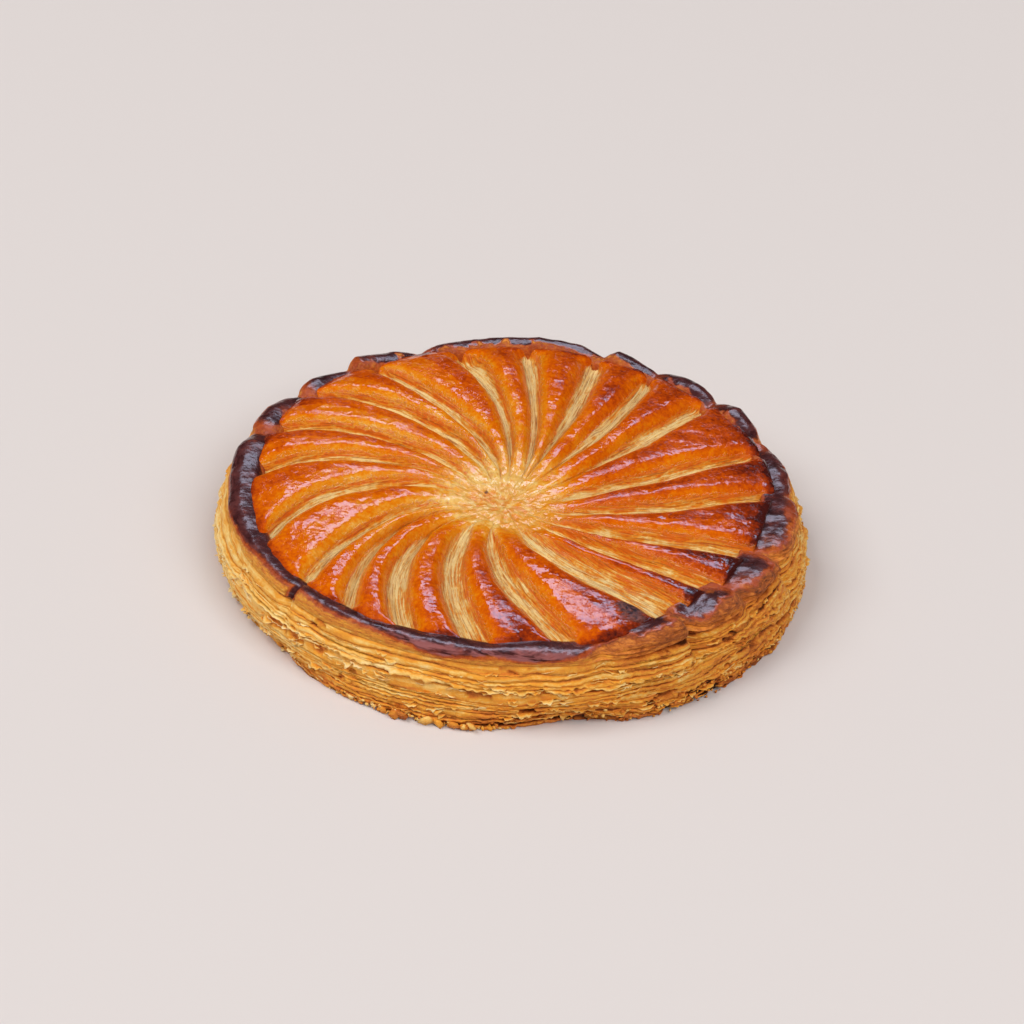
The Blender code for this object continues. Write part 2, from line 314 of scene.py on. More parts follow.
# How toasted the side is, over or under its usual tone: bearing, then at each height of TOAST_LEVELS
TOAST_LEVELS = (4.0, 16.0, 27.0)
TOAST_KEYS = (
    (5, 0.06, 0.02, -0.02),
    (60, 0.08, 0.06, 0.04),
    (120, 0.08, 0.06, 0.06),
    (170, -0.02, -0.06, 0.0),
    (190, -0.16, -0.16, -0.06),
    (215, -0.08, -0.08, -0.06),
    (240, 0.02, -0.02, -0.02),
    (262, 0.08, 0.0, 0.02),
    (285, 0.12, 0.02, 0.04),
    (308, 0.14, 0.1, 0.06),
    (325, 0.14, 0.14, 0.14),
    (340, 0.04, 0.08, 0.1),
    (352, 0.0, 0.02, 0.0),
)

# ---------------------------------------------------------------- sizes of the flakes and crumbs
FLAKES_AT_LEDGE = 150
FLAKES_AT_BASE = 260
FLAKES_BETWEEN = 190
FLAKE_ROWS = 4
FLAKE_COLUMNS = 11
FLAKE_THICKNESS = 0.3
FLAKE_ROOT = 0.5  # how far into the side a flake's root lies
CRUMB_TILT = 0.4
CRUMB_PROPORTIONS = (1.0, 0.9, 0.4)  # along the side, up and out
# Where crumbs lie: bearings from and to, heights from and to, smallest and largest size, and how many
CRUMB_HEAPS = (
    (236, 272, 0.0, 3.5, 0.9, 2.4, 90),
    (246, 268, 0.0, 1.2, 1.2, 3.2, 34),
    (248, 265, 0.0, 1.5, 4.0, 6.5, 13),
    (285, 335, 0.0, 7.5, 0.8, 2.2, 110),
    (340, 372, 0.0, 5.0, 0.6, 1.6, 30),
    (0, 12, 18.0, 27.0, 0.8, 1.8, 16),
    (12, 236, 0.0, 5.0, 0.6, 1.8, 110),
)

# ---------------------------------------------------------------- colours, as they look in daylight
CREAM = (246, 220, 164)
STRAW = (242, 198, 114)
GOLD = (234, 160, 54)
AMBER = (226, 132, 16)
ORANGE = (218, 102, 5)
RUST = (192, 74, 10)
RUSSET = (142, 46, 14)
MAHOGANY = (70, 25, 22)
TAN = (220, 130, 50)
BROWN = (172, 88, 30)
UMBER = (78, 38, 16)
CUT_GOLD = (226, 142, 36)
CUT_STRAW = (228, 172, 80)
CUT_CREAM = (242, 210, 142)
# The colour of the painted sheen on the lip
PAINTED_SHEEN_PLUM = (172, 104, 104)
FLOOR = (218, 212, 213)

# ---------------------------------------------------------------- ramps of colour, and tints of the shine
GLAZE_RAMP = (
    (0.0, STRAW), (0.12, GOLD), (0.26, AMBER), (0.42, ORANGE), (0.6, RUST), (0.78, RUSSET), (1.0, MAHOGANY),
)
CUT_RAMP = ((0.0, ORANGE), (0.18, AMBER), (0.4, CUT_GOLD), (0.62, CUT_STRAW), (0.95, CUT_CREAM))
MIDDLE_RAMP = ((0.36, AMBER), (0.46, CUT_GOLD), (0.56, CUT_STRAW), (0.74, CUT_CREAM))
BURNT_RAMP = ((0.38, (46, 20, 22)), (0.62, (124, 70, 58)))
BROWNED_RAMP = ((0.3, (196, 100, 32)), (0.5, (170, 72, 24)), (0.75, (138, 54, 26)))
DARK_RAMP = ((0.36, (52, 22, 24)), (0.58, (80, 38, 38)), (0.8, (134, 58, 38)))
CRUMB_RAMP = ((0.0, CREAM), (0.2, STRAW), (0.38, GOLD), (0.56, TAN), (0.74, BROWN), (1.0, UMBER))
GLAZE_SHINE = (0.5, 0.78, 0.95, 1.0)
RIM_SHINE = (1.0, 0.82, 0.82, 1.0)

# ---------------------------------------------------------------- the studio, in metres and degrees
FLOOR_REACH = 6.0
WORLD_COLOUR = (1.0, 0.98, 0.96, 1.0)
WORLD_STRENGTH = 0.28
# Each light: bearing, elevation, distance, size, power, colour, and whether it is only seen mirrored
LIGHTS = {
    "back_softbox": (86.0, 53.0, 1.6, (0.9, 0.5), 9.0, (0.6, 0.77, 1.0), True),
    "key": (190.0, 54.0, 8.0, (5.4, 5.4), 385.0, (1.0, 0.975, 0.93), False),
    "front_fill": (308.0, 50.0, 8.0, (6.0, 5.0), 360.0, (1.0, 0.975, 0.93), False),
}
CAMERA_TARGET = (0.0, 0.0, 0.02)
CAMERA_DISTANCE = 1.5
CAMERA_ELEVATION = 33.83
CAMERA_ROLL = 3.02
CAMERA_LENS = 120.16
CAMERA_SENSOR = 36.0
CAMERA_SHIFT = 0.0025
CAMERA_CLIP_END = 50.0


def smooth_step(low, high, value):
    """Nothing up to low, one from high on, and a soft S between them."""
    share = np.clip((value - low) / (high - low), 0.0, 1.0)
    return share * share * (3.0 - 2.0 * share)


def bell(distance, half, power=2):
    """One in the middle, and falling away to nothing round this half width."""
    return np.exp(-np.abs(distance / half) ** power)


def facing(bearings, bearing):
    """One at this bearing, nothing a quarter turn from it, and minus one across the cake."""
    return np.cos(np.radians(bearings - bearing))


def past(bearings, bearing):
    """How far bearings lie past one bearing, from -180 to 180."""
    return (bearings - bearing + 180.0) % 360.0 - 180.0


def lattice_noise(x, y, z, seed):
    """Smooth noise between -1 and 1, with one bump or so for each unit of x, y and z."""
    x, y, z = np.broadcast_arrays(x, y, z)
    places = np.stack((x, y, z))
    cells = np.floor(places).astype(np.int64)
    parts = places - cells
    fades = parts * parts * parts * (parts * (parts * 6.0 - 15.0) + 10.0)
    total = np.zeros(x.shape)
    for corner in itertools.product((0, 1), repeat=3):
        key = seed * SEED_PRIME
        weight = 1.0
        for cell, fade, step, prime in zip(cells, fades, corner, AXIS_PRIMES):
            key = key ^ ((cell + step) * prime)
            weight = weight * (fade if step else 1.0 - fade)
        key = key & KEY_BITS
        for shift, prime in MIXING:
            key = ((key ^ (key >> shift)) * prime) & KEY_BITS
        total += ((key & LOW_BITS) / (0.5 * LOW_BITS) - 1.0) * weight
    return total


def layered_noise(points, size, seed, octaves=3, flatness=1.0):
    """Noise over points (..., 3): bumps of this size, flatter by this much, with finer ones on them."""
    points = points * np.array((1.0, 1.0, flatness))
    total = np.zeros(points.shape[:-1])
    for octave in range(octaves):
        x, y, z = np.moveaxis(points * (2.0**octave / size), -1, 0)
        total += lattice_noise(x, y, z, seed + octave) * OCTAVE_STRENGTH**octave
    return total


def ring_noise(bearings, wavelength, seed, level=0.0):
    """Noise round the cake, with one bump or so for each wavelength in millimetres along the side."""
    turn = np.radians(bearings)
    scale = RIM_RADIUS / wavelength
    return lattice_noise(np.cos(turn) * scale, np.sin(turn) * scale, level, seed)


def keyed(table, bearings, column=1):
    """A column of a table that starts with bearings, read between its rows."""
    keys = np.array(table)
    return np.interp(bearings, keys[:, 0], keys[:, column], period=360.0)


def levelled(table, levels, bearings, value):
    """A tone from a table with a column for each of three levels, read between its rows and levels."""
    low, middle, high = (keyed(table, bearings, column) for column in (1, 2, 3))
    first, second, third = levels
    nearer = np.clip((value - first) / (second - first), 0.0, 1.0)
    farther = np.clip((value - second) / (third - second), 0.0, 1.0)
    return low + (middle - low) * nearer + (high - middle) * farther


def slow_lift(bearings):
    """The lip's height over its usual one, evened out over its lobes."""
    steps = np.linspace(-LIFT_SPAN, LIFT_SPAN, LIFT_STEPS)
    return sum(keyed(RIM_KEYS, bearings + step, RIM_LIFT) for step in steps) / LIFT_STEPS


def notch_at(bearings):
    """How far the notches pull the rim in, and how much of the dark glaze is left there."""
    pull = np.zeros_like(bearings)
    glazed = np.ones_like(bearings)
    for bearing, depth, before, after, kept in NOTCHES:
        away = past(bearings, bearing)
        pull = pull + depth * bell(away, np.where(away < 0.0, before, after), NOTCH_SHARPNESS)
        glazed = glazed * (1.0 - (1.0 - kept) * bell(away, np.where(away < 0.0, BARED_BEFORE, BARED_AFTER)))
    return pull, glazed


# ---------------------------------------------------------------- the lid
def cut_bearings(share, index):
    """The bearing of a cut at each share, on the curve through its three bearings."""
    a, b, c = BEARING_SHARES
    table = np.array(CUTS)[index]
    at = np.maximum(share, CUTS_STRAIGHT_TO)
    inner = (at - b) * (at - c) / ((a - b) * (a - c))
    middle = (at - a) * (at - c) / ((b - a) * (b - c))
    outer = (at - a) * (at - b) / ((c - a) * (c - b))
    return inner * table[..., 0] + middle * table[..., 1] + outer * table[..., 2]


def cut_widths(share, index):
    """The width of a cut's opening at each share."""
    a, b, c = WIDTH_SHARES
    table = np.array(CUTS)[index]
    inner, middle, outer = (table[..., column] for column in (3, 4, 5))
    grown = np.where(
        share < b,
        inner + (middle - inner) * (share - a) / (b - a),
        middle + (outer - middle) * (share - b) / (c - b),
    )
    opens = smooth_step(*CUTS_WIDEN_OVER, share)
    ends = 1.0 - smooth_step(*CUTS_END_OVER, share) ** 2
    ragged = 1.0 + 0.16 * lattice_noise(share * 9.0, index * 7.3, 0.5, 11)
    return np.maximum(grown, NARROWEST_CUT) * opens * ends * ragged


def lid_columns():
    """The cut before each column, and the column's share of the way across its petal."""
    even = np.arange(PETAL_STEPS) / PETAL_STEPS
    across = even - PETAL_LEAN * np.sin(2.0 * np.pi * even)
    return np.repeat(np.arange(len(CUTS)), PETAL_STEPS), np.tile(across, len(CUTS))


def lid_places():
    """The lid's grid: shares, bearings, distances from the cuts before and after, and those two cuts."""
    cut, across = lid_columns()
    following = (cut + 1) % len(CUTS)
    wrap = np.where(cut == len(CUTS) - 1, 360.0, 0.0)
    by_rim = np.full(len(cut), 0.95)
    ends = cut_bearings(by_rim, cut)
    ends = ends + across * (cut_bearings(by_rim, following) + wrap - ends)
    edge = keyed(RIM_KEYS, ends, RIM_INNER) + LID_UNDER_LIP
    rows = np.linspace(LID_STARTS_AT, 1.0, LID_ROWS)[:, None]
    share = rows * edge[None, :]
    start = cut_bearings(share, cut)
    stop = cut_bearings(share, following) + wrap
    bearing = start + across * (stop - start)
    pitch = np.radians(stop - start) * LID_RADIUS * share
    return share, bearing, pitch * across, pitch * (1.0 - across), cut, following


def lid_ground(share, bearing):
    """The plain dome under the petals, as points."""
    turn = np.radians(bearing)
    x = SWIRL_CENTRE[0] * (1.0 - share) + LID_RADIUS * share * np.cos(turn)
    y = SWIRL_CENTRE[1] * (1.0 - share) + LID_RADIUS * share * np.sin(turn)
    z = CREASE_HEIGHT + DOME_RISE * (1.0 - (share * LID_RADIUS / DOME_RADIUS) ** 4)
    z = z + LID_FOLLOWS * slow_lift(bearing) * smooth_step(*LID_FOLLOWS_OVER, share)
    return np.stack((x, y, z), axis=-1)


def petal_shape(share, before, after, cut, following):
    """The glaze's reach in from its edge, the petal's rise, the cut's depth share, and its half width."""
    half_before = 0.5 * cut_widths(share, cut)
    half_after = 0.5 * cut_widths(share, following)
    glaze = np.minimum(before - half_before, after - half_after)
    half_petal = np.maximum(0.5 * (before + after - half_before - half_after), 0.4)
    inward = 1.0 - np.clip(glaze / np.minimum(PETAL_ROUND, half_petal), 0.0, 1.0)
    rise = (1.0 - inward**3.0) * np.clip(half_petal / BROAD_HALF, 0.3, 1.1) ** 0.4
    half = np.where(before < after, half_before, half_after)
    inner = (np.minimum(before, after) / np.maximum(half, 0.1)) ** 2
    return glaze, rise, np.clip(1.0 - inner, 0.0, 1.0) ** 0.8, half


def cut_relief(share, side, owner, rise, valley, half):
    """How high the petals and the cuts lie, with the torn leaves and fibres in the cuts."""
    along = share * LID_RADIUS
    leaf = lattice_noise(side * 0.9, along * 0.05, owner * 5.7, 21)
    fibre = lattice_noise(side * 2.1, along * 0.08, owner * 3.1, 22)
    depth = CUT_DEPTH * np.clip(half / BROAD_CUT_HALF, 0.35, 1.35) ** 0.5
    opened = smooth_step(*CUTS_OPEN_OVER, share)
    height = opened * (PETAL_CROWN * rise - depth * valley)
    return height + opened * np.minimum(valley * 2.0, 1.0) * (LEAF_HEIGHT * leaf + FIBRE_HEIGHT * fibre)


def edge_trough(bearing, edge):
    """How far the lid dips just inside the lip, which is less at the right."""
    deepness = 1.0 - 0.6 * rightness(bearing)
    return deepness * (1.2 * smooth_step(0.86, 1.0, edge) + 1.0 * smooth_step(0.96, 1.0, edge))


def cut_light_and_shade(share, glaze, slant):
    """The glaze's tone beside each cut: painted shade along the side where it ends sharply, with a darker
    line of painted shade at its very edge, and painted light on the side where it fades softly.
    """
    sharp = np.maximum(-slant, 0.0)
    soft = np.maximum(slant, 0.0)
    brink = bell(glaze - 0.8, 0.9)
    return (sharp * (0.02 + 0.14 * brink) - 0.15 * soft) * smooth_step(0.25, 0.6, share)


def cut_paleness(share, bearing, valley, slant):
    """How pale the layers in the cuts are: less at the front, and least of all at the right."""
    browner = 0.24 * np.maximum(facing(bearing, BROWNEST_CUTS), 0.0) * smooth_step(0.2, 0.6, share)
    paler = 0.2 * (1.0 - np.maximum(facing(bearing, FRONT), 0.0))
    return valley * (0.95 + paler - 0.2 * slant - browner)


def build_lid():
    share, bearing, before, after, cut, following = lid_places()
    points = lid_ground(share, bearing)
    glaze, rise, valley, half = petal_shape(share, before, after, cut, following)
    side = np.where(before < after, before, -after)
    owner = np.where(before < after, cut, following)
    edge = share / share[-1]
    lumps = layered_noise(points, LUMP_SIZE, 31, 2)
    dimples = layered_noise(points, DIMPLE_SIZE, 33, 2)
    ripple = layered_noise(points, RIPPLE_SIZE, 35, 2)
    torn = layered_noise(points, TORN_SIZE, 41)
    centre = 1.0 - smooth_step(*TORN_ENDS_OVER, share + 0.06 * lumps + 0.04 * torn)
    height = cut_relief(share, side, owner, rise, valley, half)
    fine = (DIMPLE_HEIGHT * dimples + RIPPLE_HEIGHT * ripple) * smooth_step(0.0, 2.0, glaze)
    height += LUMP_HEIGHT * lumps + fine
    height += centre * (TORN_HEIGHT * torn - TORN_SINKS)
    points[..., 2] += height - edge_trough(bearing[0], edge)
    # The slant sets the side of each cut that takes painted shade and the side that takes painted light.
    slant = facing(bearing, CUT_SLANT) * np.clip(side / SLANT_REACH, -1.0, 1.0)
    soft = np.maximum(slant, 0.0)
    by_lip = 0.24 * smooth_step(0.96, 1.0, edge + 0.02 * dimples)
    attributes = {
        "glaze": (glaze - 1.7 * soft + 0.3) / (0.8 + 1.8 * soft),
        "pale": cut_paleness(share, bearing, valley, slant),
        "tone": petal_tone(share, bearing, cut, rise) + cut_light_and_shade(share, glaze, slant) + by_lip,
        "across": side,
        "along": share * LID_RADIUS + owner * CUT_SPACING,
        "middle": centre,
        "burn": burnt_patch(points),
    }
    return closed_cap("lid", points, attributes, LID_FLOOR)


def petal_tone(share, bearing, cut, rise):
    """How browned the glaze is: by place, and darker in patches by the rim and on the petals' backs."""
    own = np.random.default_rng(5).uniform(-0.04, 0.04, len(CUTS))[cut]
    placed = levelled(TONE_KEYS, TONE_SHARES, bearing, share)
    inward = -0.34 * (1.0 - smooth_step(0.1, 0.42, share))
    along = share * LID_RADIUS
    patches = layered_noise(np.stack((along, np.radians(bearing) * along, share), axis=-1), 14.0, 55, 2)
    scorched = 0.12 * smooth_step(0.86, 1.0, share + 0.09 * patches) * rightness(bearing)
    return USUAL_TONE + own + placed + inward + scorched + 0.22 * rise**3


def burnt_patch(points):
    """A small crumbly burnt patch beside the thin petal at the front, and a tiny hole near the middle drawn
    only as a dark spot of painted shade.
    """
    turn = np.radians(BURN_BEARING)
    outward = np.array((np.cos(turn), np.sin(turn)))
    sideways = np.array((-np.sin(turn), np.cos(turn)))
    away = points[..., :2] - (BURN_SHARE * LID_RADIUS * outward + np.array(BURN_OFFSET))
    width, depth = BURN_HALF_SIZES
    reach = np.sqrt((away @ sideways / width) ** 2 + (away @ outward / depth) ** 2)
    # The tiny hole is only painted: a dark spot of painted shade in the burnt colours.
    hole = np.linalg.norm(points[..., :2] - np.array(HOLE_PLACE), axis=-1) / HOLE_RADIUS
    return 1.0 - smooth_step(0.7, 1.1, np.minimum(reach + 0.3 * layered_noise(points, 2.0, 51), hole))


# ---------------------------------------------------------------- the rim
def rim_profile(bearings):
    """What the rim's section runs through, as (points, columns, radius and height), and how glazed it is."""
    pull, glazed = notch_at(bearings)
    lift = keyed(RIM_KEYS, bearings, RIM_LIFT)
    swell = 0.45 * facing(bearings, 275.0) + lift + 0.55 * ring_noise(bearings, 17.0, 61)
    top = RIM_HEIGHT + swell - NOTCH_DROP * pull
    outer = RIM_RADIUS + 0.5 * ring_noise(bearings, 14.0, 62) - pull
    inner = keyed(RIM_KEYS, bearings, RIM_INNER) * LID_RADIUS
    inner = inner - 0.35 * pull + 0.8 * ring_noise(bearings, 15.0, 63)
    crease = CREASE_HEIGHT - 0.8 + LID_FOLLOWS * slow_lift(bearings) - 0.2 * pull + 2.0 * rightness(bearings)
    width = outer - inner
    foot = RIM_FOOT_HEIGHT + 0.5 * lift
    section = (
        (inner - 0.6, crease - 4.5),
        (inner - 0.1, crease - 0.2),
        (inner + 0.14 * width, crease + 0.6 * (top - crease)),
        (inner + 0.36 * width, top - 0.5),
        (inner + 0.64 * width, top),
        (inner + 0.88 * width, top - 0.8),
        (outer, top - 2.3),
        (outer + 0.4, 0.5 * (top - 2.5 + foot)),
        (outer + 0.5 + 0.4 * pull, foot),
        (outer - 2.4, foot - 1.4),
    )
    return np.array(section).transpose(0, 2, 1), glazed


def run_through(controls, count):
    """Points on smooth curves through the controls, which run along the first axis."""
    before = 2.0 * controls[:1] - controls[1:2]
    after = 2.0 * controls[-1:] - controls[-2:-1]
    padded = np.concatenate((before, controls, after))
    places = np.linspace(0.0, len(controls) - 1.0, count)
    spans = np.minimum(places.astype(int), len(controls) - 2)
    t = (places - spans).reshape((-1,) + (1,) * (controls.ndim - 1))
    a, b, c, d = (padded[spans + step] for step in range(4))
    square = 2.0 * a - 5.0 * b + 4.0 * c - d
    cube = 3.0 * b - a - 3.0 * c + d
    return 0.5 * (2.0 * b + (c - a) * t + square * t**2 + cube * t**3)


def around(radius, bearings, height):
    """The points at these radii, bearings and heights."""
    turn = np.radians(bearings)
    return np.stack((radius * np.cos(turn), radius * np.sin(turn), height), axis=-1)


def rim_glaze(points, bearings, step, glazed):
    """How much dark glaze there is: on the lip, in the drip, and thinly on the lip's inner slope."""
    ragged = layered_noise(points, 7.0, 81)
    patchy = layered_noise(points, 16.0, 85, 2)
    at_back = np.maximum(facing(bearings, BACK), 0.0)
    starts = 1.0 + 1.6 * at_back
    inside = smooth_step(starts, starts + 1.0, step + (0.3 + 0.9 * at_back) * ragged)
    tattered = 0.25 + 0.6 * rightness(bearings)
    outside = 1.0 - smooth_step(-1.3, 1.0, step - keyed(RIM_KEYS, bearings, RIM_REACH) + tattered * ragged)
    spared = (0.08 + 0.12 * rightness(bearings)) * (1.0 + 2.0 * patchy)
    dark = inside * outside * glazed[None] * (1.0 - np.clip(spared, 0.0, 0.8))
    drip = bell(bearings - DRIP_BEARING, DRIP_HALF) * (1.0 - smooth_step(*DRIP_ENDS_OVER, step))
    slope = 0.24 * (1.0 - smooth_step(2.6, 3.4, step + 0.4 * ragged))
    return np.maximum(np.maximum(dark, drip), slope)


def painted_rim_sheen(bearings, step):
    """How much painted sheen, a paler plum colour that stands in for a soft reflection, lies on the lower
    half of the glaze, nearly all of it at the front.
    """
    at_front = smooth_step(*SHEEN_FROM, bearings) * (1.0 - smooth_step(*SHEEN_TO, bearings))
    below_glaze = smooth_step(0.0, 0.9, step - keyed(RIM_KEYS, bearings, RIM_REACH))
    return smooth_step(3.4, 4.8, step) * (1.0 - below_glaze) * (0.2 + 0.8 * at_front)


def build_rim():
    bearings = ring_bearings()
    controls, glazed = rim_profile(bearings)
    section = run_through(controls, RIM_ROWS)
    points = around(section[..., 0], bearings, section[..., 1])
    lumps = layered_noise(points, 9.0, 71, 2)
    wrinkle = layered_noise(points, 2.6, 75, flatness=1.6)
    knobs = layered_noise(points, 5.0, 77, 2)
    swelling = 0.45 * lumps + 0.07 * wrinkle + 0.3 * knobs * rightness(bearings)
    step = np.linspace(0.0, RIM_STEPS, RIM_ROWS)[:, None]
    leaves = lattice_noise(np.radians(bearings) * RIM_RADIUS / 16.0, section[..., 1] * 1.4, 0.0, 83)
    leaves = 0.8 * leaves * smooth_step(5.0, 6.4, step) * (0.3 + 0.7 * rightness(bearings))
    points += around(0.6 * swelling + leaves, bearings, 0.7 * swelling)
    attributes = {
        "dark": rim_glaze(points, bearings, step, glazed),
        "painted_sheen": painted_rim_sheen(bearings, step),
        "toast": side_tone(bearings, section[..., 1]) + 0.1 * rightness(bearings),
        "level": section[..., 1],
    }
    return closed_ring("rim", points, attributes)


# ---------------------------------------------------------------- the side
def leaned(turn):
    """The bearings at these shares of a turn, closer together at the front."""
    return 360.0 * (turn - COLUMN_LEAN / (2.0 * np.pi) * (np.cos(2.0 * np.pi * turn) - 1.0))


def ring_bearings():
    """The bearings of a ring's columns."""
    return leaned(np.arange(RING_COLUMNS) / RING_COLUMNS)


def rightness(bearings):
    """One where the side has its many thin leaves, and nothing where it has the thick band."""
    turn = np.mod(bearings - 90.0, 360.0) + 90.0
    return smooth_step(*RIGHT_FROM, turn) * (1.0 - smooth_step(*RIGHT_TO, turn))


def lip_hollow(bearings):
    """How deep the hollow under the lip is."""
    return HOLLOW_DEPTH * sum(bell(past(bearings, bearing), half, 4) for bearing, half in LIP_HOLLOWS)


def torn_pits(points, bearings):
    """Ragged pits where the crust is torn, which dip into the side and are darkened with painted shade: many
    low down at the right, a few elsewhere.
    """
    low = 1.0 - smooth_step(9.0, 19.0, points[..., 2])
    share = 0.08 + 0.12 * low + 0.3 * rightness(bearings) * low
    return smooth_step(0.0, 0.32, layered_noise(points, PIT_SIZE, 401, flatness=3.4) - 0.82 + share)


def leaf_heights(leaves, top, bottom, bearings, seed):
    """The heights where the leaves part, from the top one's upper edge down: (leaves + 1, columns)."""
    thickness = []
    for number, leaf in enumerate(leaves):
        usual = leaf[0] + (leaf[1] - leaf[0]) * rightness(bearings)
        slow = ring_noise(bearings, 38.0, seed, number * 1.7)
        quick = ring_noise(bearings, 13.0, seed + 1, number * 2.3)
        thickness.append(usual * np.exp(1.2 * slow + (0.3 + 0.2 * rightness(bearings)) * quick))
    thickness = np.array(thickness)
    below = np.concatenate((np.zeros((1, len(bearings))), np.cumsum(thickness, axis=0)))
    return top + (bottom - top) * below / below[-1]


def leaf_rows(leaf, number, upper, lower, bearings, seed):
    """One leaf's rings: from the gap over it, round its edge and back under it."""
    proud, left_gap, right_gap, toast, roughness = leaf[2:]
    gap = left_gap + (right_gap - left_gap) * rightness(bearings)
    thin = np.clip((upper - lower) / 0.7, 0.15, 1.0)
    calm = 1.0 - 0.65 * bell(bearings - CALM_BEARING, CALM_HALF)
    torn = calm * ring_noise(bearings, 6.0, seed + 1, number * 3.7)
    frayed = calm * ring_noise(bearings, 1.7, seed + 2, number * 5.1)
    stands = proud + 0.6 * ring_noise(bearings, 34.0, seed, number * 1.9)
    stands = (stands + roughness * (0.5 * torn + 0.4 * frayed)) * (0.4 + 0.6 * thin)
    parted = smooth_step(-0.35, 0.45, ring_noise(bearings, 26.0, seed + 3, number * 2.9))
    opening = 0.15 + gap * thin * parted * np.exp(0.6 * ring_noise(bearings, 9.0, seed + 4, number * 1.3))
    droop = 0.3 * np.maximum(stands, 0.0) + 0.2 * roughness * frayed * thin
    tone = toast + 0.1 * np.clip(stands, -1.0, 1.0) + 0.06 * torn
    # Each ring: its share of the way down, how far out it lies, how much it hangs and how much painted
    # highlight it takes
    rings = (
        (0.0, -opening, 0.0, 0.0),
        (0.12, -0.2, 0.5, 0.7),
        (0.35, 0.05, 1.0, 1.0),
        (0.62, 0.05, 1.0, 0.7),
        (0.88, -0.25, 0.8, 0.35),
        (1.0, -opening * 0.8, 0.0, 0.0),
    )
    rows = []
    for share, out, hang, pale in rings:
        in_gap = hang == 0.0
        height = upper + (lower - upper) * share - droop * hang
        radius = np.interp(height, SIDE_HEIGHTS, SIDE_RADII) + out + (0.0 if in_gap else stands)
        # Rings in the gap take painted shade, more where the gap opens wider.
        gap_depth = np.clip(opening / 1.2, 0.0, 1.0) * in_gap
        rows.append((radius, height, tone, gap_depth, pale * np.clip(0.5 + 0.6 * stands, 0.0, 1.0)))
    return rows


def side_section(leaves, top, bottom, bearings, seed):
    """A stack of leaves as rings from the top down: radii, heights, toast, depths of gaps for painted shade,
    and edges made paler as a painted highlight.
    """
    edges = leaf_heights(leaves, top, bottom, bearings, seed)
    rows = []
    for number, leaf in enumerate(leaves):
        rows += leaf_rows(leaf, number, edges[number], edges[number + 1], bearings, seed + 10)
    return [np.array(parts) for parts in zip(*rows)]


def side_tone(bearings, height):
    """How much the side is browned over its usual tone at each place."""
    return levelled(TOAST_KEYS, TOAST_LEVELS, bearings, height)


def base_spread(bearings, height):
    """How far the side stands out or falls back near the base, at each bearing."""
    return keyed(BASE_KEYS, bearings) * (1.0 - smooth_step(0.0, BASE_REACH, height))


def stack_tops(bearings, level, seed):
    """The wandering height where two stacks of leaves meet."""
    return level + 0.9 * ring_noise(bearings, 45.0, seed) + 0.4 * ring_noise(bearings, 16.0, seed + 1)


def build_side(name, leaves, top, bottom, seed, finish):
    """One stack of leaves all round the side, from a top height to a bottom one, closed as finish does."""
    bearings = ring_bearings()
    pull, _ = notch_at(bearings)
    radius, height, toast, gap, edge = side_section(leaves, top, bottom, bearings, seed)
    hollow = lip_hollow(bearings) * smooth_step(*UNDER_LIP_OVER, height)
    felt = smooth_step(*RIM_FELT_OVER, height)
    radius = radius - hollow - pull * felt + base_spread(bearings, height)
    height = height + felt * (0.5 * keyed(RIM_KEYS, bearings, RIM_LIFT) - NOTCH_DROP * pull)
    points = around(radius, bearings, height)
    pits = torn_pits(points, bearings)
    grain = layered_noise(points, 2.4, seed + 30, flatness=2.2)
    bulges = layered_noise(points, 15.0, 31, 2, flatness=2.0)
    points += around(0.2 * grain + 0.75 * bulges - PIT_DEPTH * pits, bearings, np.zeros(pits.shape))
    points[..., 2] = np.maximum(points[..., 2], 0.0)
    attributes = {
        "toast": toast + side_tone(bearings, height),
        # Painted shade: darker in the gaps between leaves, the hollows under the lip and the torn pits.
        "gap": np.maximum(np.maximum(gap, hollow / HOLLOW_DEPTH), 0.8 * pits),
        # The leaves' proud edges take a painted highlight.
        "edge": edge,
        "fine": np.maximum(rightness(bearings), 0.2 + 0.4 * smooth_step(16.0, 8.0, height)),
    }
    return finish(name, points, attributes)


# ---------------------------------------------------------------- flakes and crumbs
def flake_places(rng):
    """Where flakes stand off the side: bearings and heights along the ledge, near the base and between."""
    ledge = rng.normal(17.5, 2.2, FLAKES_AT_LEDGE)
    base = rng.uniform(1.5, 9.0, FLAKES_AT_BASE)
    others = rng.uniform(9.0, 27.0, FLAKES_BETWEEN)
    heights = np.concatenate((ledge, base, others))
    return leaned(rng.uniform(0.0, 1.0, len(heights))), heights


def flake_shapes(rng, heights, number, along):
    """Each flake's points: how far along the side and out of it, how high, and their share of the reach."""
    def each(low, high):
        return rng.uniform(low, high, heights.shape)

    length = each(1.5, 5.5) * each(1.0, 2.2)
    reach = each(0.7, 2.2)
    slope = np.radians(each(-55.0, 35.0))
    curl = np.radians(each(-60.0, 60.0))
    slant = each(-0.25, 0.25)
    outward = np.linspace(0.0, 1.0, FLAKE_ROWS)
    out = np.concatenate((outward, outward[::-1]))
    under = np.arange(2 * FLAKE_ROWS) >= FLAKE_ROWS
    ragged = 1.0 + 0.7 * lattice_noise(along * length * 0.45, number, 0.0, 301)
    width = reach * (1.0 - 0.98 * np.abs(along) ** 3) * np.clip(ragged, 0.25, 1.8)
    angle = slope + curl * out * 0.5
    thickness = FLAKE_THICKNESS * (1.0 - 0.6 * out) * under
    wave = 0.35 * lattice_noise(along * length * 0.3, number, out * 1.5, 302) * out
    rise = width * out * np.sin(angle) - thickness * np.cos(angle) + wave
    stand = width * out * np.cos(angle) + thickness * np.sin(angle) - FLAKE_ROOT
    return along * length * 0.5, stand, heights + slant * along * length * 0.5 + rise, out


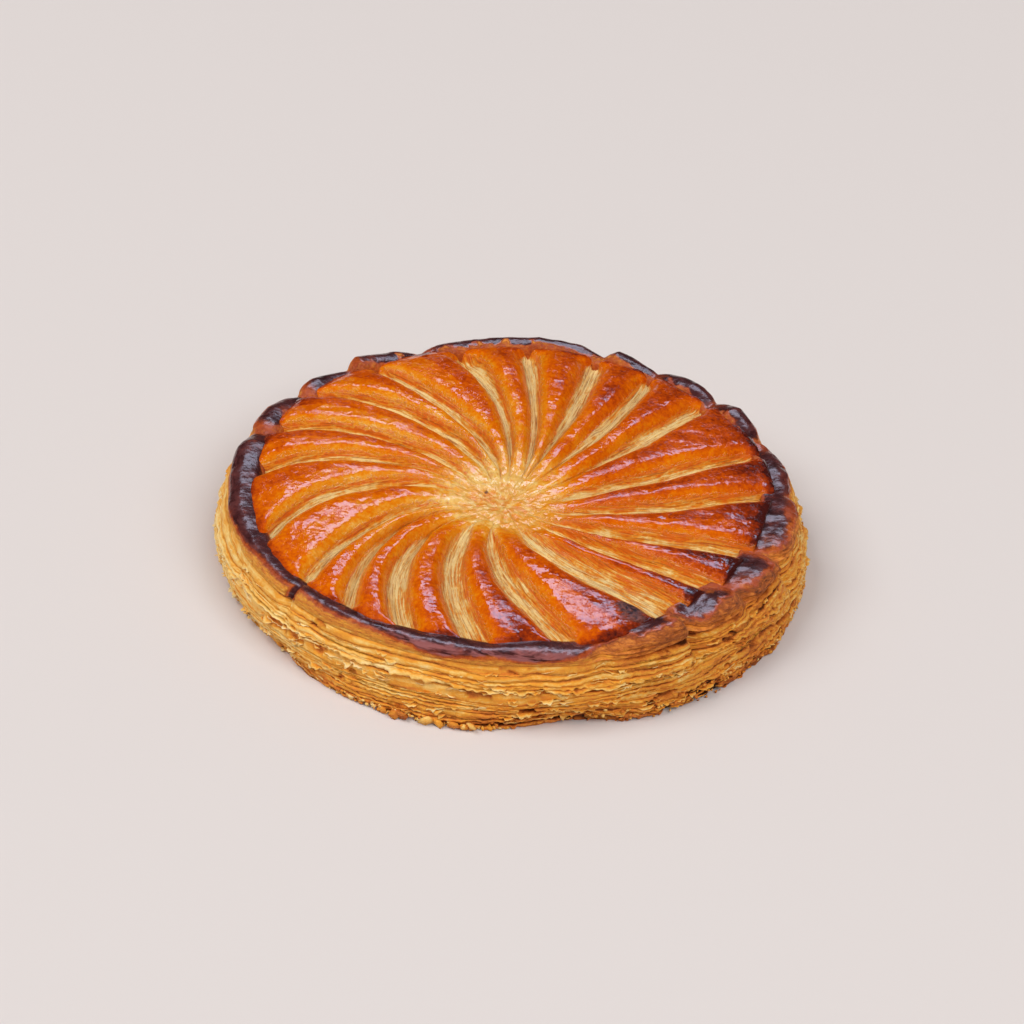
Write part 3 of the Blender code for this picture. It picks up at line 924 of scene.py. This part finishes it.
def build_flakes():
    """Thin torn leaves that curl off the side: closed sheets rooted in it, joined into one piece."""
    rng = np.random.default_rng(77)
    bearings, heights = (values[:, None, None] for values in flake_places(rng))
    number = np.arange(len(bearings))[:, None, None] * 3.1
    along = np.linspace(-1.0, 1.0, FLAKE_COLUMNS)[None, :, None]
    run, stand, height, out = flake_shapes(rng, heights, number, along)
    turn = bearings + np.degrees(run / RIM_RADIUS)
    pull, _ = notch_at(turn)
    radius = np.interp(height, SIDE_HEIGHTS, SIDE_RADII) + stand + base_spread(turn, heights)
    radius = radius - pull * smooth_step(*RIM_FELT_OVER, height)
    height = np.maximum(height, 0.1)
    toast = 0.34 + 0.12 * lattice_noise(number, along * 0.5, 0.0, 303) + side_tone(turn, height[..., :1])
    # Each flake takes painted shade at its root and a painted highlight towards its tip.
    attributes = {"toast": toast, "gap": 0.3 * (1.0 - out), "edge": out, "fine": 0.5}
    filled = {label: np.broadcast_to(values, radius.shape) for label, values in attributes.items()}
    return joined_sheets("flakes", around(radius, np.broadcast_to(turn, radius.shape), height), filled)


def joined_sheets(name, points, attributes):
    """Closed sheets in one mesh: each is a tube along its columns, shut at its two ends."""
    count, columns, ring = points.shape[:3]
    column, place = np.meshgrid(np.arange(columns - 1), np.arange(ring), indexing="ij")
    beside = (place + 1) % ring
    near, far = column * ring, (column + 1) * ring
    skin = np.stack((near + place, far + place, far + beside, near + beside), axis=-1).reshape(-1, 4)
    step = np.arange(ring // 2 - 1)
    first = np.stack((step, step + 1, ring - 2 - step, ring - 1 - step), axis=-1)
    last = first[:, ::-1] + (columns - 1) * ring
    faces = repeated(np.concatenate((skin, first, last)), count, columns * ring)
    return make_mesh(name, points.reshape(-1, 3), attributes, faces, NO_TRIANGLES)


def crumb_places(rng):
    """Centres and sizes of the crumbs, from CRUMB_HEAPS."""
    centres, sizes = [], []
    for start, stop, low, high, smallest, largest, count in CRUMB_HEAPS:
        bearings = rng.uniform(start, stop, count)
        heights = rng.uniform(low, high, count)
        size = rng.uniform(smallest, largest, count)
        heights = np.maximum(heights, 0.45 * size)
        radius = np.interp(heights, SIDE_HEIGHTS, SIDE_RADII) + base_spread(bearings, heights) + 0.3 * size
        centres.append(around(radius, bearings, heights))
        sizes.append(size)
    return np.concatenate(centres), np.concatenate(sizes)


def small_ball():
    """The corners and three-sided faces of a ball that is one across."""
    shape = bmesh.new()
    bmesh.ops.create_icosphere(shape, subdivisions=1, radius=0.5)
    corners = np.array([corner.co for corner in shape.verts])
    faces = np.array([[corner.index for corner in face.verts] for face in shape.faces])
    shape.free()
    return corners, faces


def crumb_axes(rng, centres):
    """Each crumb's own axes: along the side, up and out of it, tilted at random."""
    turns = np.arctan2(centres[:, 1], centres[:, 0])
    none = np.zeros(len(turns))
    along = np.stack((-np.sin(turns), np.cos(turns), none), axis=-1)
    upward = np.stack((none, none, none + 1.0), axis=-1)
    out = np.stack((np.cos(turns), np.sin(turns), none), axis=-1)
    tilts, _ = np.linalg.qr(np.eye(3) + CRUMB_TILT * rng.normal(size=(len(turns), 3, 3)))
    return tilts @ np.stack((along, upward, out), axis=1)


def build_crumbs():
    """Broken bits of crust that cling to the side and lie at its foot, all joined into one piece."""
    rng = np.random.default_rng(88)
    ball, corners = small_ball()
    centres, sizes = crumb_places(rng)
    count = len(sizes)
    axes = crumb_axes(rng, centres)
    stretch = rng.uniform(0.7, 1.15, (count, 1, 3)) * np.array(CRUMB_PROPORTIONS)
    rough = 1.0 + 0.3 * rng.normal(size=(count, len(ball), 1)).clip(-1.5, 1.5)
    points = centres[:, None, :] + (ball * rough * stretch) @ axes * sizes[:, None, None]
    points[..., 2] = np.maximum(points[..., 2], 0.0)
    x, y, z = np.moveaxis(points, -1, 0)
    faces = repeated(corners, count, len(ball))
    mirrored = np.repeat(np.linalg.det(axes) < 0.0, len(corners))[:, None]
    faces = np.where(mirrored, faces[:, ::-1], faces)
    attributes = {
        "toast": 0.42 + 0.12 * rng.normal(size=(count, 1)) + side_tone(np.degrees(np.arctan2(y, x)), z),
        "gap": np.zeros(x.shape),
        "edge": rng.uniform(0.0, 1.0, (count, 1)) + np.zeros(x.shape),
        "fine": np.full(x.shape, 0.5),
    }
    return make_mesh("crumbs", points.reshape(-1, 3), attributes, NO_QUADS, faces)


# ---------------------------------------------------------------- meshes
NO_QUADS = np.zeros((0, 4), int)
NO_TRIANGLES = np.zeros((0, 3), int)


def repeated(faces, count, points_each):
    """The faces of one body, repeated for every body in a row of them."""
    return (faces + (np.arange(count) * points_each)[:, None, None]).reshape(-1, faces.shape[1])


def grid_faces(rows, columns, wrap_rows):
    """Four-sided faces of a grid whose columns run all the way round, and its rows too if asked."""
    first = np.arange(rows if wrap_rows else rows - 1)
    row, column = np.meshgrid(first, np.arange(columns), indexing="ij")
    beside = (column + 1) % columns
    here, below = row * columns, (row + 1) % rows * columns
    return np.stack((here + column, below + column, below + beside, here + beside), axis=-1).reshape(-1, 4)


def make_mesh(name, points, attributes, quads, triangles):
    """A piece with a mesh of these points and faces, and one number for each point under each label."""
    mesh = bpy.data.meshes.new(name)
    mesh.vertices.add(len(points))
    mesh.vertices.foreach_set("co", (points * MM).ravel().astype(np.float32))
    mesh.loops.add(quads.size + triangles.size)
    corners = np.concatenate((quads.ravel(), triangles.ravel()))
    mesh.loops.foreach_set("vertex_index", corners.astype(np.int32))
    starts = np.concatenate((np.arange(len(quads)) * 4, quads.size + np.arange(len(triangles)) * 3))
    mesh.polygons.add(len(quads) + len(triangles))
    mesh.polygons.foreach_set("loop_start", starts.astype(np.int32))
    mesh.update(calc_edges=True)
    mesh.shade_smooth()
    for label, values in attributes.items():
        layer = mesh.attributes.new(label, "FLOAT", "POINT")
        layer.data.foreach_set("value", values.ravel().astype(np.float32))
    piece = bpy.data.objects.new(name, mesh)
    bpy.context.scene.collection.objects.link(piece)
    return piece


def capped(name, skin, attributes, first_pole, last_pole):
    """A closed mesh: a skin round the cake, shut by fans from its first and last rings to two poles."""
    rows, columns = skin.shape[:2]
    points = np.concatenate((skin.reshape(-1, 3), (first_pole, last_pole)))
    extended = {label: np.append(values, values.ravel()[[0, -1]]) for label, values in attributes.items()}
    first = np.arange(columns)
    last = (rows - 1) * columns + first
    tips = np.concatenate((fan(first, len(points) - 2, True), fan(last, len(points) - 1, False)))
    return make_mesh(name, points, extended, grid_faces(rows, columns, False), tips)


def fan(ring, pole, outward):
    """Triangles from a ring of points to a pole."""
    following = np.roll(ring, -1)
    poles = np.full(len(ring), pole)
    pair = (ring, following) if outward else (following, ring)
    return np.stack((poles, *pair), axis=-1)


def closed_cap(name, points, attributes, floor_height):
    """A closed mesh: a top skin from a pole in its middle to its edge, and a flat underside."""
    under = points[-1:].copy()
    under[..., 2] = floor_height
    skin = np.concatenate((points, under))
    grown = {label: np.concatenate((values, values[-1:])) for label, values in attributes.items()}
    return capped(name, skin, grown, points[0].mean(axis=0), (0.0, 0.0, floor_height))


def closed_ring(name, points, attributes):
    """A closed mesh: a skin round the cake whose first and last rings are joined."""
    rows, columns = points.shape[:2]
    return make_mesh(name, points.reshape(-1, 3), attributes, grid_faces(rows, columns, True), NO_TRIANGLES)


def backed_ring(name, points, attributes):
    """A closed ring whose hidden back lies well inside the cake."""
    scale = 1.0 - SIDE_BACK / RIM_RADIUS
    backs = points[[-1, 0]] * np.array((scale, scale, 1.0))
    skin = np.concatenate((points, backs))
    grown = {label: np.concatenate((values, values[[-1, 0]])) for label, values in attributes.items()}
    return closed_ring(name, skin, grown)


def closed_disc(name, points, attributes):
    """A closed mesh: the skin of the lower side, with the base under it and a hidden top."""
    points[-1, :, 2] = 0.0
    return capped(name, points, attributes, (0.0, 0.0, points[0, :, 2].mean()), (0.0, 0.0, 0.0))


# ---------------------------------------------------------------- materials
def linear(colour):
    """A daylight colour, given in steps of 255, as the light it returns."""
    share = np.array(colour) / 255.0
    light = np.where(share <= 0.04045, share / 12.92, ((share + 0.055) / 1.055) ** 2.4)
    return (*light, 1.0)


class Finish:
    """A material and short ways to add nodes to it."""

    def __init__(self, name):
        self.material = bpy.data.materials.new(name)
        self.material.use_nodes = True
        self.nodes = self.material.node_tree.nodes
        self.links = self.material.node_tree.links
        self.shader = self.nodes["Principled BSDF"]

    def put(self, socket, value):
        if isinstance(value, bpy.types.NodeSocket):
            self.links.new(value, socket)
        else:
            socket.default_value = value

    def node(self, kind, **values):
        node = self.nodes.new("ShaderNode" + kind)
        for label, value in values.items():
            self.put(node.inputs[label.replace("_", " ")], value)
        return node

    def attribute(self, label):
        node = self.node("Attribute")
        node.attribute_name = label
        return node.outputs["Fac"]

    def math(self, operation, *values):
        node = self.node("Math")
        node.operation = operation
        for socket, value in zip(node.inputs, values):
            self.put(socket, value)
        return node.outputs[0]

    def times(self, first, second):
        return self.math("MULTIPLY", first, second)

    def rest(self, share):
        """What a share leaves of one."""
        return self.math("SUBTRACT", 1.0, share)

    def varied(self, value, *patterns):
        """The value, raised and lowered by patterns of noise, each with its own strength."""
        for pattern, strength in patterns:
            value = self.math("MULTIPLY_ADD", self.math("SUBTRACT", pattern, 0.5), strength, value)
        return value

    def place(self):
        return self.node("TexCoord").outputs["Object"]

    def vector(self, x, y, z):
        return self.node("CombineXYZ", X=x, Y=y, Z=z).outputs["Vector"]

    def stretched(self, vector, along, up):
        """The vector at one scale along the ground and another one up."""
        return self.node("Mapping", Vector=vector, Scale=(along, along, up)).outputs["Vector"]

    def noise(self, vector, scale, detail, roughness, distortion=0.0):
        """A pattern about 0.5, with this many bumps for each unit of the vector."""
        node = self.node(
            "TexNoise", Vector=vector, Scale=scale, Detail=detail, Roughness=roughness, Distortion=distortion
        )
        return node.outputs["Fac"]

    def between(self, value, low, high, start=0.0, stop=1.0):
        node = self.node("MapRange", Value=value, From_Min=low, From_Max=high, To_Min=start, To_Max=stop)
        node.interpolation_type = "SMOOTHSTEP"
        return node.outputs["Result"]

    def ramp(self, value, stops):
        node = self.node("ValToRGB", Fac=value)
        elements = node.color_ramp.elements
        while len(elements) < len(stops):
            elements.new(1.0)
        for element, (position, colour) in zip(elements, stops):
            element.position = position
            element.color = linear(colour)
        return node.outputs["Color"]

    def mix(self, share, first, second):
        node = self.nodes.new("ShaderNodeMix")
        node.data_type = "RGBA"
        self.put(node.inputs["Factor"], share)
        self.put(node.inputs["A"], first)
        self.put(node.inputs["B"], second)
        return node.outputs["Result"]

    def bump(self, height, distance, *under):
        """A relief this many millimetres high, over the normal of another one if that is given."""
        node = self.node("Bump", Distance=distance * MM, Height=height)
        for normal in under:
            self.put(node.inputs["Normal"], normal)
        return node.outputs["Normal"]

    def surface(self, **values):
        for label, value in values.items():
            self.put(self.shader.inputs[label.replace("_", " ")], value)
        return self.material


def glaze_material():
    """The lid: an egg-washed glaze on the petals, and bare fibrous layers in the cuts."""
    f = Finish("glazed_lid")
    place = f.place()
    blotch = f.noise(place, 90.0, 4.0, 0.6)
    speck = f.noise(place, 520.0, 3.0, 0.6)
    grain = f.noise(place, 1100.0, 3.0, 0.6)
    # The tone holds the glaze's browning and also the painted light and shade beside the cuts.
    glazed = f.ramp(f.varied(f.attribute("tone"), (blotch, 0.5), (speck, 0.56), (grain, 0.28)), GLAZE_RAMP)
    across, along = f.attribute("across"), f.times(f.attribute("along"), 0.07)
    streak = f.noise(f.vector(f.times(across, 1.3), along, 0.0), 1.0, 4.0, 0.65, 0.4)
    threads = f.noise(f.vector(f.times(across, 3.6), along, 3.0), 1.0, 3.0, 0.7, 0.6)
    bare = f.ramp(f.varied(f.attribute("pale"), (streak, 3.4), (blotch, 1.5), (speck, 1.3)), CUT_RAMP)
    bare = f.mix(f.between(threads, 0.52, 0.64, 0.0, 0.82), bare, linear(BROWN))
    bare = f.mix(f.between(threads, 0.4, 0.3, 0.0, 0.7), bare, linear(CREAM))
    cover = f.between(f.varied(f.attribute("glaze"), (speck, 2.4), (streak, 1.6)), -0.6, 0.6)
    middle, burn = f.attribute("middle"), f.attribute("burn")
    colour = f.mix(middle, f.mix(cover, bare, glazed), f.ramp(f.noise(place, 260.0, 4.0, 0.65), MIDDLE_RAMP))
    colour = f.mix(burn, colour, f.ramp(speck, BURNT_RAMP))
    dry = f.between(f.noise(place, 170.0, 5.0, 0.68, 0.5), 0.5, 0.56)
    normal = f.bump(f.noise(place, 300.0, 1.5, 0.5), 0.4)
    normal = f.bump(f.times(dry, cover), 0.05, normal)
    normal = f.bump(f.times(streak, f.rest(cover)), 1.1, normal)
    normal = f.bump(f.times(speck, burn), 1.0, normal)
    glossy = f.times(f.times(cover, f.math("MULTIPLY_ADD", middle, -0.45, 1.0)), f.rest(burn))
    roughness = f.math("MULTIPLY_ADD", glossy, f.math("MULTIPLY_ADD", dry, 0.1, -0.5), 0.55)
    shine = {"Specular_IOR_Level": 0.62, "Specular_Tint": GLAZE_SHINE}
    return f.surface(Base_Color=colour, Roughness=roughness, Normal=normal, **shine)


def rim_material():
    """The rim: nearly burnt, glossy glaze on top, running out to rust and gold on the outer face, with a
    painted plum sheen on the lower half of the lip's front.
    """
    f = Finish("browned_rim")
    place = f.place()
    blotch = f.noise(place, 120.0, 4.0, 0.6)
    speck = f.noise(place, 600.0, 3.0, 0.6)
    streak = f.noise(f.stretched(place, 265.0, 1700.0), 1.0, 4.0, 0.65, 0.4)
    sheen_streak = f.noise(f.stretched(place, 110.0, 800.0), 1.0, 3.0, 0.6, 0.4)
    toast = f.math("ADD", f.attribute("toast"), f.between(f.attribute("level"), 27.5, 32.0, 0.38, 0.54))
    bare = f.ramp(f.varied(toast, (blotch, 0.5), (streak, 0.9)), CRUMB_RAMP)
    browned = f.ramp(f.varied(blotch, (speck, 0.4)), BROWNED_RAMP)
    dark = f.ramp(f.varied(blotch, (speck, 0.3)), DARK_RAMP)
    # Painted sheen: streaks of plum colour on the lower half of the lip stand in for a soft reflection.
    dark = f.mix(f.times(f.attribute("painted_sheen"), f.between(sheen_streak, 0.4, 0.62, 0.0, 0.65)), dark, linear(PAINTED_SHEEN_PLUM))
    reach = f.varied(f.attribute("dark"), (speck, 0.4))
    glazed = f.between(reach, 0.02, 0.3)
    colour = f.mix(f.between(reach, 0.3, 0.75), f.mix(glazed, bare, browned), dark)
    normal = f.bump(f.noise(place, 280.0, 2.0, 0.5), 0.36)
    normal = f.bump(f.times(streak, f.rest(glazed)), 1.6, normal)
    roughness = f.math("MULTIPLY_ADD", f.between(reach, 0.1, 0.5), -0.51, 0.76)
    shine = {"Specular_IOR_Level": 0.66, "Specular_Tint": RIM_SHINE}
    return f.surface(Base_Color=colour, Roughness=roughness, Normal=normal, **shine)


def crust_material():
    """The side: dry leaves, pale on their faces and toasted where they stand out, with painted highlights on
    their edges and painted shade in the gaps between them.
    """
    f = Finish("layered_crust")
    place = f.place()
    blotch = f.noise(place, 110.0, 4.0, 0.6)
    speck = f.noise(place, 700.0, 3.0, 0.6)
    streak = f.noise(f.stretched(place, 400.0, 2200.0), 1.0, 4.0, 0.65, 0.4)
    patch = f.noise(f.stretched(place, 70.0, 550.0), 1.0, 3.0, 0.6, 0.6)
    streak = f.varied(0.5, (streak, f.attribute("fine")))
    tone = f.varied(f.attribute("toast"), (blotch, 0.45), (patch, 0.75), (streak, 0.6), (speck, 0.26))
    # Painted highlight: paler on the leaves' proud edges and towards the flakes' tips; on the crumbs "edge"
    # is only a random paleness for each.
    tone = f.math("MULTIPLY_ADD", f.attribute("edge"), -0.2, tone)
    # Painted shade: darker in the gaps, the hollows under the lip, the torn pits and at the flakes' roots.
    tone = f.math("MULTIPLY_ADD", f.attribute("gap"), 0.46, tone)
    colour = f.ramp(tone, CRUMB_RAMP)
    normal = f.bump(speck, 0.25, f.bump(streak, 0.7))
    return f.surface(Base_Color=colour, Roughness=0.6, Normal=normal, Specular_IOR_Level=0.3)


# ---------------------------------------------------------------- the studio
def floor_material():
    """A plain matt floor."""
    f = Finish("studio_floor")
    return f.surface(Base_Color=linear(FLOOR), Roughness=0.9, Specular_IOR_Level=0.0)


def build_floor():
    """A wide square floor at the height of the cake's foot."""
    mesh = bpy.data.meshes.new("studio_floor")
    corners = [(x * FLOOR_REACH, y * FLOOR_REACH, 0.0) for x, y in ((-1, -1), (1, -1), (1, 1), (-1, 1))]
    mesh.from_pydata(corners, [], [(0, 1, 2, 3)])
    floor = bpy.data.objects.new("studio_floor", mesh)
    bpy.context.scene.collection.objects.link(floor)
    floor.data.materials.append(floor_material())


def soft_light(name, bearing, elevation, distance, size, power, colour, only_mirrored):
    """A rectangular soft light that looks at the cake from a bearing and an elevation."""
    lamp = bpy.data.lights.new(name, "AREA")
    lamp.shape = "RECTANGLE"
    lamp.size, lamp.size_y = size
    lamp.energy = power
    lamp.color = colour
    light = bpy.data.objects.new(name, lamp)
    turn, rise = np.radians(bearing), np.radians(elevation)
    away = Vector((np.cos(turn) * np.cos(rise), np.sin(turn) * np.cos(rise), np.sin(rise)))
    light.location = away * distance
    light.rotation_euler = away.to_track_quat("Z", "Y").to_euler()
    light.visible_glossy = only_mirrored
    light.visible_diffuse = not only_mirrored
    bpy.context.scene.collection.objects.link(light)


def build_lights():
    """A dim even world that the glaze doesn't mirror, and the soft lights."""
    world = bpy.data.worlds.new("studio")
    bpy.context.scene.world = world
    world.use_nodes = True
    background = world.node_tree.nodes["Background"]
    background.inputs["Color"].default_value = WORLD_COLOUR
    background.inputs["Strength"].default_value = WORLD_STRENGTH
    world.cycles_visibility.glossy = False
    for name, settings in LIGHTS.items():
        soft_light(name, *settings)


def build_camera():
    """A long lens that looks down on the cake, turned a little about its own axis."""
    elevation, roll = np.radians(CAMERA_ELEVATION), np.radians(CAMERA_ROLL)
    back = Vector((0.0, -np.cos(elevation), np.sin(elevation)))
    level = Vector((1.0, 0.0, 0.0))
    upright = back.cross(level)
    right = level * np.cos(roll) + upright * np.sin(roll)
    up = upright * np.cos(roll) - level * np.sin(roll)
    camera = bpy.data.objects.new("camera", bpy.data.cameras.new("camera"))
    camera.data.lens = CAMERA_LENS
    camera.data.sensor_width = CAMERA_SENSOR
    camera.data.shift_y = CAMERA_SHIFT
    camera.data.clip_end = CAMERA_CLIP_END
    stand = Matrix.Translation(Vector(CAMERA_TARGET) + back * CAMERA_DISTANCE)
    camera.matrix_world = stand @ Matrix((right, up, back)).transposed().to_4x4()
    bpy.context.scene.collection.objects.link(camera)
    bpy.context.scene.camera = camera


def dress(piece, material):
    """Give a piece its material and slot, and let it ride on the cake."""
    piece.data.materials.append(material)
    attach(piece, "root")


def main():
    bpy.context.scene.view_settings.view_transform = "Standard"
    build_floor()
    build_lights()
    build_camera()
    bearings = ring_bearings()
    upper_foot = stack_tops(bearings, UPPER_FOOT, 90)
    middle_foot = stack_tops(bearings, MIDDLE_FOOT, 93)
    dress(build_lid(), glaze_material())
    dress(build_rim(), rim_material())
    middle_top = upper_foot + LEAF_OVERLAP
    lower_top = middle_foot + LEAF_OVERLAP
    upper = build_side("upper_leaves", UPPER_LEAVES, SIDE_TOP, upper_foot, 100, backed_ring)
    middle = build_side("middle_leaves", MIDDLE_LEAVES, middle_top, middle_foot, 150, backed_ring)
    lower = build_side("lower_leaves", LOWER_LEAVES, lower_top, 0.0, 200, closed_disc)
    crust = crust_material()
    for piece in (upper, middle, lower, build_flakes(), build_crumbs()):
        dress(piece, crust)
    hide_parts("galette")


main()
